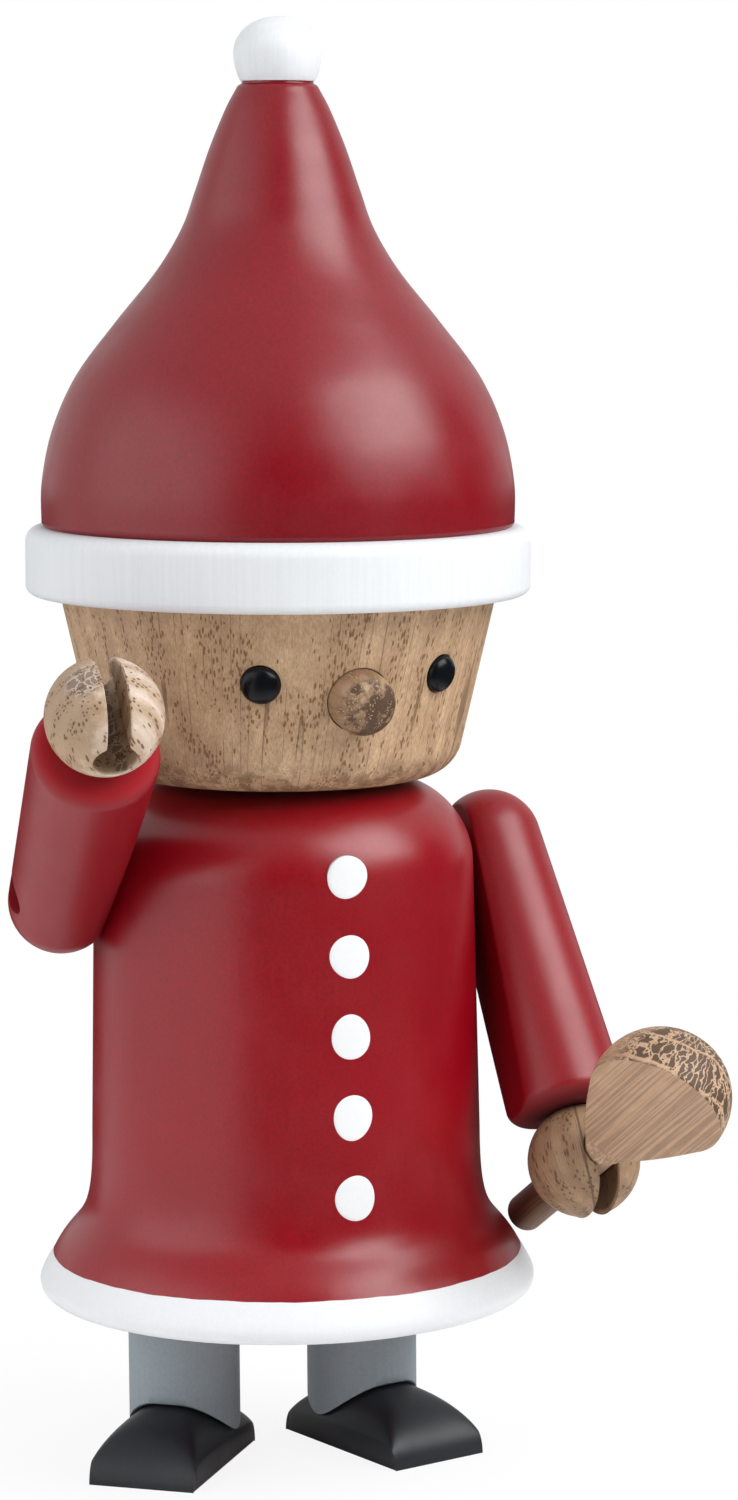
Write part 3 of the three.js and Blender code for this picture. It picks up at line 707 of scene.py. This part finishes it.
# Hat. A bell of turned wood that draws in to a slim tip with a tiny neck below the bobble, in a darker
# satin red than the coat. Its outline is in shares of the way from tip radius to full, and from band to tip.
hat_tip = 191.25
hat_radius = 32.4
hat_tip_radius = 4.85
hat_foot = 0.4
hat_shares = np.array([[1, 0], [0.997, 0.1], [0.942, 0.22], [0.824, 0.34], [0.628, 0.46], [0.425, 0.575],
                       [0.3, 0.67], [0.232, 0.755], [0.161, 0.85], [0.084, 0.935], [0.036, 0.977],
                       [0.020, 0.989], [0.003, 0.994], [0, 1]])


def smooth_through(points, steps):
    """A curve through all the points. Each stretch is a cubic whose ends head along the line between the
    neighbours on both sides."""
    padded = np.concatenate([points[:1] * 2 - points[1:2], points, points[-1:] * 2 - points[-2:-1]])
    t = np.linspace(0, 1, steps, endpoint=False)[None, :, None]
    p0, p1, p2, p3 = (padded[k:len(padded) - 3 + k, None, :] for k in range(4))
    along = 0.5 * (2 * p1 + (p2 - p0) * t + (2 * p0 - 5 * p1 + 4 * p2 - p3) * t ** 2
                   + (3 * p1 - p0 - 3 * p2 + p3) * t ** 3)
    return np.concatenate([along.reshape(-1, 2), points[-1:]])


hat_line = smooth_through(hat_shares, 12)
hat_wall = np.stack([hat_tip_radius + (hat_radius - hat_tip_radius) * hat_line[:, 0],
                     band_top + (hat_tip - band_top) * hat_line[:, 1]], -1)
hat_base = [[0, band_top], [hat_radius - hat_foot, band_top]]
hat_profile = np.concatenate([hat_base, hat_wall[1:], [[0, hat_tip]]])
hat_rings = waved_seam(turned(hat_profile, 224), hat_tip, 1.5, 0.08)
hat_paint = painted("hat_paint", (0.242, 0.0008, 0.0078), (0.224, 0.0006, 0.0064), 0.34,
                    speckle=0.24, fibre=0.05)
hat = skin("hat_turned", hat_rings, head_place, hat_paint, "head_and_hat", ["hat"])


# Bobble. A small turned knob of wood, cut flat below to sit on the hat's tip, pegged to it and painted
# white. It is half of one oval above its widest place, and part of a longer one below.
bobble_radius = 6.0
bobble_height = 8.69
bobble_widest = 3.8
bobble_reach = 7.0
turn = np.linspace(-math.asin(bobble_widest / bobble_reach), math.pi / 2, 60)
half_height = np.where(turn < 0, bobble_reach, bobble_height - bobble_widest)
bobble_z = hat_tip + bobble_widest + half_height * np.sin(turn)
bobble_wall = np.stack([bobble_radius * np.cos(turn), bobble_z], -1)
bobble_wall[-1, 0] = 0
bobble_profile = np.concatenate([[[0, hat_tip]], bobble_wall])
bobble = skin("bobble_turned", turned(bobble_profile, 128), head_place, band_paint,
              "head_and_hat", ["bobble"])


# Arms. Each sleeve is turned with a domed shoulder and a rounded cuff, then planed flat where it bears on
# the coat, and drilled across for the pin that it swings on. The cuffs' dull end faces carry painted shade,
# darkest on the left.
shoulder_height = 82.5
shoulder_out = 31.65
sleeve_length = 37.85
cuff_radius = 8.49
cuff_round = 2.2
dome_radius = 7.29
dome_rise = 3.2
planed_at = 26.825
planed_edge = 0.12
pin_hole_radius = 3.0
swing = {"right": 127.9, "left": 31.0}
lean = {"right": 6.0, "left": 4.5}
outward = {"right": -1, "left": 1}
# Painted shade on the cuffs' end faces: the left end is darkened, the right keeps nearly the sleeve's red.
end_shade_tone = {"right": (0.300, 0.0014, 0.0080), "left": (0.150, 0.0030, 0.0060)}


def arm_place(side):
    """The arm's frame: z up from the pin when the arm hangs, swung forward about the pin."""
    shift = Matrix.Translation((outward[side] * shoulder_out, 0, shoulder_height))
    return shift @ Matrix.Rotation(-math.radians(swing[side]), 4, "X")


def leaned_out(side):
    """The turn about y that leans a hanging arm away from the coat."""
    return Matrix.Rotation(-outward[side] * math.radians(lean[side]), 4, "Y")


def sideways(side):
    """The turn about y that lays the z axis along x, outwards from the coat."""
    return Matrix.Rotation(outward[side] * math.pi / 2, 4, "Y")


def sleeve_rings(side):
    """The sleeve as turned, leaned away from the coat, with whatever lies past the planed face pushed
    back onto it. The edge of that face is softened over a few tenths."""
    profile = np.concatenate([
        line((0, -sleeve_length), (cuff_radius - cuff_round, -sleeve_length), 5),
        arc(cuff_radius - cuff_round, cuff_round - sleeve_length, cuff_round, -90, 0, 14)[1:],
        line((cuff_radius, cuff_round - sleeve_length), (dome_radius, dome_rise), 70)[1:],
        arc(0, dome_rise, dome_radius, 0, 90, 30)[1:],
    ])
    profile[-1, 0] = 0
    rings = turned(profile) @ np.array(leaned_out(side).to_3x3()).T
    towards_coat = soft_least(-outward[side] * rings[..., 0], shoulder_out - planed_at, planed_edge)
    rings[..., 0] = -outward[side] * towards_coat
    return rings


def dull_and_shade_end(paint, axis, end_shade_colour):
    """Lets the paint go over to a dull finish, and to a colour of painted shade, where the surface faces
    down the sleeve.
    """
    tree = paint.node_tree
    shader = tree.nodes["Principled BSDF"]
    gloss = shader.inputs["Roughness"].links[0].from_socket
    tone = shader.inputs["Base Color"].links[0].from_socket
    normal = add_node(tree, "TexCoord").outputs["Normal"]
    down = vector_maths(tree, "DOT_PRODUCT", normal, tuple(-axis.normalized()))
    end_face = between(tree, down, 0.15, 0.92)
    dull = add_node(tree, "Mix", {0: end_face, 2: gloss, 3: 0.95}, data_type="FLOAT")
    tone = mix(tree, end_face, tone, end_shade_colour)
    plug(tree, shader, {"Base Color": tone, "Roughness": dull.outputs[0]})


for side in ("right", "left"):
    place = arm_place(side)
    axis = place.to_3x3() @ leaned_out(side).to_3x3() @ straight_up
    paint = painted(f"{side}_sleeve_paint", (0.285, 0.0008, 0.0080), (0.262, 0.0006, 0.0066), 0.37,
                    speckle=0.2, fibre=0.06, centre=place.translation, grain=axis)
    dull_and_shade_end(paint, axis, end_shade_tone[side])
    sleeve = skin(f"{side}_sleeve_turned", sleeve_rings(side), place, paint)
    drill(sleeve, [(place @ sideways(side), pin_hole_radius, -20, 20)])
    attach(sleeve, f"{side}_arm")
    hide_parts(f"{side}_sleeve")


# Shoulder pins. Dowels glued into the coat, on which the arms turn. Their ends lie a little below the
# sleeves' sides and took some of the paint; their dark red-brown is partly painted shade of the hole.
pin_radius = 2.7
inner_chamfer = 0.3
outer_chamfer = 0.4
pin_paint_and_shade = painted("pin_end_paint_and_shade", (0.11, 0.014, 0.014), (0.08, 0.010, 0.010), 0.5,
                    speckle=0.2, fibre=0.1)
for side in ("right", "left"):
    low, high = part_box(f"{side}_shoulder_pin")
    inner = abs((low.x if side == "left" else high.x) - coat_axis.x) * 1000
    outer = inner + (high.x - low.x) * 1000
    pin_profile = np.array([
        [0, inner],
        [pin_radius - inner_chamfer, inner],
        [pin_radius, inner + inner_chamfer],
        [pin_radius, outer - outer_chamfer],
        [pin_radius - outer_chamfer, outer],
        [0, outer],
    ])
    pin_place = Matrix.Translation((0, 0, shoulder_height)) @ sideways(side)
    pin = skin(f"{side}_pin", turned(pin_profile, 64), pin_place, pin_paint_and_shade,
               "torso", [f"{side}_shoulder_pin"])


# Hands. Each is an oak ball glued on the sleeve's dowel, drilled across and sawn open to the hole, so
# that it can grip a stick. The left one is browner and has cracked.
hand_radius = 7.745
hole_radius = 2.9
hole_rim = 0.16
slot_half = 1.55
slot_edge = 0.13
hand_sunk = 0.45
hand_reach = sleeve_length + hand_radius - hand_sunk
hand_flat = 7.15
hole_below = {"right": 0.0, "left": 0.25}
hole_fade = 1.5
hand_turns = {"right": (-5.0, -4.0, 0.3), "left": (1.3, 0.0, 1.9)}


def turned_hand(side):
    """How the hand is turned on the end of its sleeve."""
    tilt, roll, twist = (math.radians(value) for value in hand_turns[side])
    return Matrix.Rotation(twist, 4, "Z") @ Matrix.Rotation(tilt, 4, "X") @ Matrix.Rotation(roll, 4, "Y")


def hand_frame(side):
    """The hand's frame: y along its hole, and the slot opens towards -z, away from the sleeve."""
    down_the_arm = Matrix.Translation((0, 0, -hand_reach))
    return arm_place(side) @ leaned_out(side) @ down_the_arm @ turned_hand(side)


def hand_rings(side):
    """Sections across the hole, carried along it. Each is a ring of wood open below: round the outside of
    the ball, up one wall of the slot, round the hole and down the other wall. The outside shrinks to the
    hole's rim at the ends, where the hole opens out in a small round. The ball is planed a little where
    it meets the sleeve."""
    end = math.sqrt(hand_radius ** 2 - (hole_radius + hole_rim) ** 2)
    y = end * np.sin(np.linspace(-math.pi / 2, math.pi / 2, 111))
    outside = np.sqrt(hand_radius ** 2 - y ** 2)
    into_rim = np.clip(np.abs(y) - (end - hole_rim), 0, hole_rim)
    inside = hole_radius + hole_rim - np.sqrt(hole_rim ** 2 - into_rim ** 2)
    inside = np.minimum(inside, outside)
    gap = np.minimum(slot_half + (inside - hole_radius), inside * 0.97)
    edge = np.minimum(slot_edge, (outside - inside) * 0.3)
    low_out = -np.sqrt(outside ** 2 - gap ** 2)
    low_in = -np.sqrt(inside ** 2 - gap ** 2)
    open_out = np.arcsin((gap + edge) / outside)[:, None]
    open_in = np.arcsin(np.minimum((gap + 0.5 * edge) / inside, 1.0))[:, None]
    settled = np.clip((end - np.abs(y)) / hole_fade, 0, 1)[:, None]
    lift = hole_below[side] * settled * settled * (3 - 2 * settled)
    round_out = -math.pi / 2 + open_out + (2 * math.pi - 2 * open_out) * np.linspace(0, 1, 110)
    outer = outside[:, None, None] * np.stack([np.cos(round_out), np.sin(round_out)], -1)
    outer[..., 1] += lift
    round_in = -math.pi / 2 - open_in - (2 * math.pi - 2 * open_in) * np.linspace(0, 1, 60)
    inner = inside[:, None, None] * np.stack([np.cos(round_in), np.sin(round_in)], -1)
    wall = np.linspace(0, 1, 14)
    z_wall = (low_out + edge)[:, None] * (1 - wall) + (low_in - 0.5 * edge)[:, None] * wall
    wall_up = np.stack([-gap[:, None] + 0 * z_wall, z_wall], -1)
    wall_down = wall_up[:, ::-1] * [-1, 1]
    section = np.concatenate([outer, wall_up, inner, wall_down], 1)
    height = section[..., 1] - hole_below[side]
    rings = np.stack([section[..., 0], y[:, None] + 0 * height, height], -1)
    arm_up = np.array(turned_hand(side).to_3x3().inverted() @ straight_up)
    past = np.maximum(rings @ arm_up - hand_flat, 0)[..., None]
    return rings - past * arm_up


# The hollow colours are painted shade in the hands' holes and slots, deeper in the left hand.
hand_woods = {
    "right": {"light": (0.70, 0.575, 0.475), "mid": (0.42, 0.272, 0.160), "dark": (0.190, 0.135, 0.108),
              "pore": (0.130, 0.056, 0.014), "hollow_shade": (0.60, 0.49, 0.37),
              "grain": (-0.51, -0.51, 0.69), "pith": (1.6, -32.7, -23), "tan_side": (-0.94, 0.35, 0.0)},
    "left": {"light": (0.43, 0.275, 0.160), "mid": (0.29, 0.170, 0.092), "dark": (0.130, 0.078, 0.046),
             "pore": (0.120, 0.060, 0.025), "hollow_shade": (0.38, 0.29, 0.20),
             "grain": arm_place("left").to_3x3() @ Vector((0, 0.05, 1)), "pith": (-20, 30, 8),
             "cracks": 0.95, "split": (0.929, -0.321, 0.185, 0.5)},
}
for side in ("right", "left"):
    place = hand_frame(side)
    hand_wood = oak(f"{side}_hand_oak", centre=place.translation, ring=3.0, pores=(0.60, 2.2, 0.36, 1.0),
                    patches=0.9, patch_size=(1.2, 1.6), pure_end=(0.965, 0.925), blotches=0.2, bend=1.6,
                    **hand_woods[side])
    hand = skin(f"{side}_hand_turned", hand_rings(side), place, hand_wood, f"{side}_arm", [f"{side}_hand"])


# Spoon. Turned from one stick of oak: a handle that widens through a cone into an oval bowl, planed flat
# on one side from just ahead of the hand to the tip. The fit of its handle holds it in the left hand.
handle_radius = 2.7
tail_round = 0.6
spoon_tail = 22.8
spoon_neck = 7.2
spoon_middle = 26.6
cone_swell = 0.3
bowl_radius = 9.48
bowl_half = 10.2
face_depth = 1.45
face_clear = 0.3
face_run_out = 1.6
face_edge = 0.1
face_roll = math.radians(-136)


def spoon_rings():
    """Circles along the stick whose radius follows handle, cone and half an oval. Past the neck,
    everything proud of the planed face is pushed back onto it, and its edge is softened a little."""
    run = spoon_middle - spoon_neck
    across = bowl_radius * run
    along = bowl_half * handle_radius
    reach = math.asin(bowl_half * bowl_radius / math.hypot(across, along))
    touch = math.atan2(along, across) - reach
    angle = np.linspace(touch, math.pi / 2, 60)
    bowl = np.stack([bowl_radius * np.cos(angle), spoon_middle + bowl_half * np.sin(angle)], -1)
    bowl[-1, 0] = 0
    cone = line((handle_radius, spoon_neck), tuple(bowl[0]), 40)[1:]
    cone[:, 0] += cone_swell * np.sin(math.pi * np.linspace(0, 1, len(cone)))
    profile = np.concatenate([
        [[0, -spoon_tail]],
        arc(handle_radius - tail_round, -spoon_tail + tail_round, tail_round, -90, 0, 8),
        line((handle_radius, -spoon_tail + tail_round), (handle_radius, spoon_neck), 40)[1:],
        cone,
        bowl[1:],
    ])
    rings = turned(profile)
    x, y, z = rings[..., 0], rings[..., 1], rings[..., 2]
    run_out = np.clip((z - spoon_neck) / face_run_out, 0, 1)
    clear = handle_radius + face_clear
    depth = clear + (face_depth - clear) * np.sin(run_out * math.pi / 2)
    return np.stack([x, soft_least(depth, y, face_edge), z], -1)


stick = Matrix.Rotation(face_roll, 4, "Y") @ Matrix.Rotation(math.pi / 2, 4, "X")
spoon_place = hand_frame("left") @ Matrix.Translation((0, 0, -hole_below["left"])) @ stick
spoon_axis = spoon_place.to_3x3() @ straight_up
spoon_wood = oak("spoon_oak", light=(0.58, 0.390, 0.250), mid=(0.46, 0.280, 0.170),
                 dark=(0.090, 0.050, 0.028), pore=(0.055, 0.030, 0.016), centre=spoon_place.translation,
                 grain=spoon_axis, pith=spoon_place.to_3x3() @ Vector((0, -61, 0)), ring=4.4,
                 pores=(0.8, 9.0, 0.24, 0.0), patches=0.98, patch_size=(1.15, 2.7), end_pores=1.0,
                 streak=0.14, lines=0.32, ends_from=13.0)
tree = spoon_wood.node_tree
shader = tree.nodes["Principled BSDF"]
tone = shader.inputs["Base Color"].links[0].from_socket
placed = placed_coordinates(tree, spoon_place.translation, spoon_axis)
along = add_node(tree, "SeparateXYZ", {0: placed}).outputs["Z"]
# Darker towards the handle's tail, 6 to 9 mm below the hand: partly darker wood, partly painted shade under
# the hand.
tone = mix(tree, between(tree, along, -0.006, -0.009), tone, (0.34, 0.24, 0.185), "MULTIPLY")
plug(tree, shader, {"Base Color": tone})
spoon = skin("spoon_turned", spoon_rings(), spoon_place, spoon_wood, "held_spoon", ["spoon"])


# Hidden dowels. Plain beech rods that hold head, legs, hands and bobble, glued into one piece or both.
# They are seen only if the figure is taken apart.
dowel_wood = oak("dowel_beech", light=(0.60, 0.42, 0.26), mid=(0.52, 0.35, 0.21), dark=(0.40, 0.26, 0.15),
                 pore=(0.38, 0.24, 0.14), centre=(0, 0, 100), grain=(0, 0, 1), pith=(-12, -8, 0), ring=3.5,
                 pores=(0.3, 1.5, 0.3, 0.2), streak=0.12)
for name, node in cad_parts.items():
    if name.endswith(("dowel", "peg")):
        node.data.materials.clear()
        node.data.materials.append(dowel_wood)


# Studio. A white floor and backdrop, one large soft box to the front right, and white walls to the left
# and behind. The camera sees the floor as nearly plain white, and gloss sees its far unlit part as dark.
aim_height = 0.11
floor_half = 3.0
floor_tone = (0.9, 0.9, 0.9)
unlit_tone = (0.03, 0.03, 0.03)


def studio_direction(azimuth, elevation):
    """The direction to a light from the figure. Azimuth 0 is straight ahead of it and 90 on its left."""
    a, e = math.radians(azimuth), math.radians(elevation)
    return Vector((math.sin(a) * math.cos(e), -math.cos(a) * math.cos(e), math.sin(e)))


def soft_box(name, azimuth, elevation, distance, width, height, power, edge):
    """A rectangular lamp that faces the figure's middle and fades towards each edge over a share of it."""
    lamp = bpy.data.lights.new(name, "AREA")
    lamp.shape = "RECTANGLE"
    lamp.size = width
    lamp.size_y = height
    lamp.energy = power
    lamp.use_nodes = True
    tree = lamp.node_tree
    across = add_node(tree, "NewGeometry").outputs["Parametric"]
    across = add_node(tree, "SeparateXYZ", {0: across}).outputs
    level = 1.0
    for axis in ("X", "Y"):
        off = maths(tree, "ABSOLUTE", maths(tree, "SUBTRACT", across[axis], 0.5))
        soft = between(tree, off, 0.5, 0.5 - edge, interpolation_type="SMOOTHSTEP")
        level = maths(tree, "MULTIPLY", soft, level)
    plug(tree, tree.nodes["Emission"], {"Strength": level})
    box = add_object(name, lamp)
    direction = studio_direction(azimuth, elevation)
    box.location = coat_axis + Vector((0, 0, aim_height)) + direction * distance
    box.rotation_euler = direction.to_track_quat("Z", "Y").to_euler()


soft_box("key_box", azimuth=44, elevation=38, distance=0.85, width=0.93, height=0.75,
         power=15.2, edge=0.24)
soft_box("left_wall", azimuth=-84, elevation=16, distance=1.1, width=2.2, height=1.5,
         power=12.2, edge=0.34)

floor_mesh = bpy.data.meshes.new("floor")
corners = [(x * floor_half, y * floor_half, 0) for x, y in ((-1, -1), (1, -1), (1, 1), (-1, 1))]
floor_mesh.from_pydata(corners, [], [(0, 1, 2, 3)])
floor = add_object("floor", floor_mesh)
floor_white, tree, shader = new_material("floor_white", floor_tone, 0.9)
spot = placed_coordinates(tree, (0, 0, 0))
away = vector_maths(tree, "LENGTH", spot)
path = add_node(tree, "LightPath")
shown_white = maths(tree, "MULTIPLY", between(tree, away, 0.03, 0.10, 0.88), path.outputs["Is Camera Ray"])
lit_side = tuple(studio_direction(-98, 0))
toward = vector_maths(tree, "DOT_PRODUCT", vector_maths(tree, "NORMALIZE", spot), lit_side)
unlit_side = between(tree, toward, 0.70, 0.48, interpolation_type="SMOOTHSTEP")
mirrored = maths(tree, "MULTIPLY", between(tree, away, 0.08, 0.20), path.outputs["Is Glossy Ray"])
unlit = maths(tree, "MULTIPLY", mirrored, unlit_side)
plug(tree, shader, {"Specular IOR Level": 0.0, "Base Color": mix(tree, unlit, floor_tone, unlit_tone)})
bright = add_node(tree, "Emission", {"Color": (1, 1, 1), "Strength": 1.0})
blend = add_node(tree, "MixShader", {0: shown_white, 1: shader.outputs["BSDF"],
                                     2: bright.outputs["Emission"]})
plug(tree, tree.nodes["Material Output"], {"Surface": blend.outputs["Shader"]})
floor_mesh.materials.append(floor_white)

world = bpy.data.worlds.new("studio")
bpy.context.scene.world = world
world.use_nodes = True
tree = world.node_tree
sky = add_node(tree, "TexCoord").outputs["Generated"]
level = vector_maths(tree, "NORMALIZE", vector_maths(tree, "MULTIPLY", sky, (1, 1, 2.5)))
toward = vector_maths(tree, "DOT_PRODUCT", level, tuple(studio_direction(32, 0)))
walls = between(tree, toward, 0.12, 0.38, 0.73, 0.03, interpolation_type="SMOOTHSTEP")
path = add_node(tree, "LightPath")
strength = add_node(tree, "Mix", {0: path.outputs["Is Camera Ray"], 2: walls, 3: 1.0}, data_type="FLOAT")
plug(tree, tree.nodes["Background"], {"Strength": strength.outputs[0], "Color": (1, 1, 1)})


# Camera. Placed as the photograph was taken: a long lens a little to the figure's right, looking slightly
# down. Its place and turns were fitted to the round seams and the outline.
camera_spot = Vector((-199.298, -570.243, 175.18)) / 1000
view_turn = 0.356
down = 0.1241
roll = -0.0073
focal_pixels = 4410
frame_height_pixels = 1500
film_size = 36
level_ahead = Vector((math.sin(view_turn), math.cos(view_turn), 0))
level_right = Vector((math.cos(view_turn), -math.sin(view_turn), 0))
ahead = level_ahead * math.cos(down) - straight_up * math.sin(down)
upright = straight_up * math.cos(down) + level_ahead * math.sin(down)
right = level_right * math.cos(roll) + upright * math.sin(roll)
upward = upright * math.cos(roll) - level_right * math.sin(roll)
lens = bpy.data.cameras.new("camera")
lens.lens = focal_pixels * film_size / frame_height_pixels
lens.sensor_width = film_size
lens.clip_start = 0.01
camera = add_object("camera", lens)
camera.matrix_world = Matrix((
    (right.x, upward.x, -ahead.x, camera_spot.x + coat_axis.x),
    (right.y, upward.y, -ahead.y, camera_spot.y + coat_axis.y),
    (right.z, upward.z, -ahead.z, camera_spot.z),
    (0, 0, 0, 1),
))
bpy.context.scene.camera = camera
bpy.context.scene.view_settings.view_transform = "Standard"
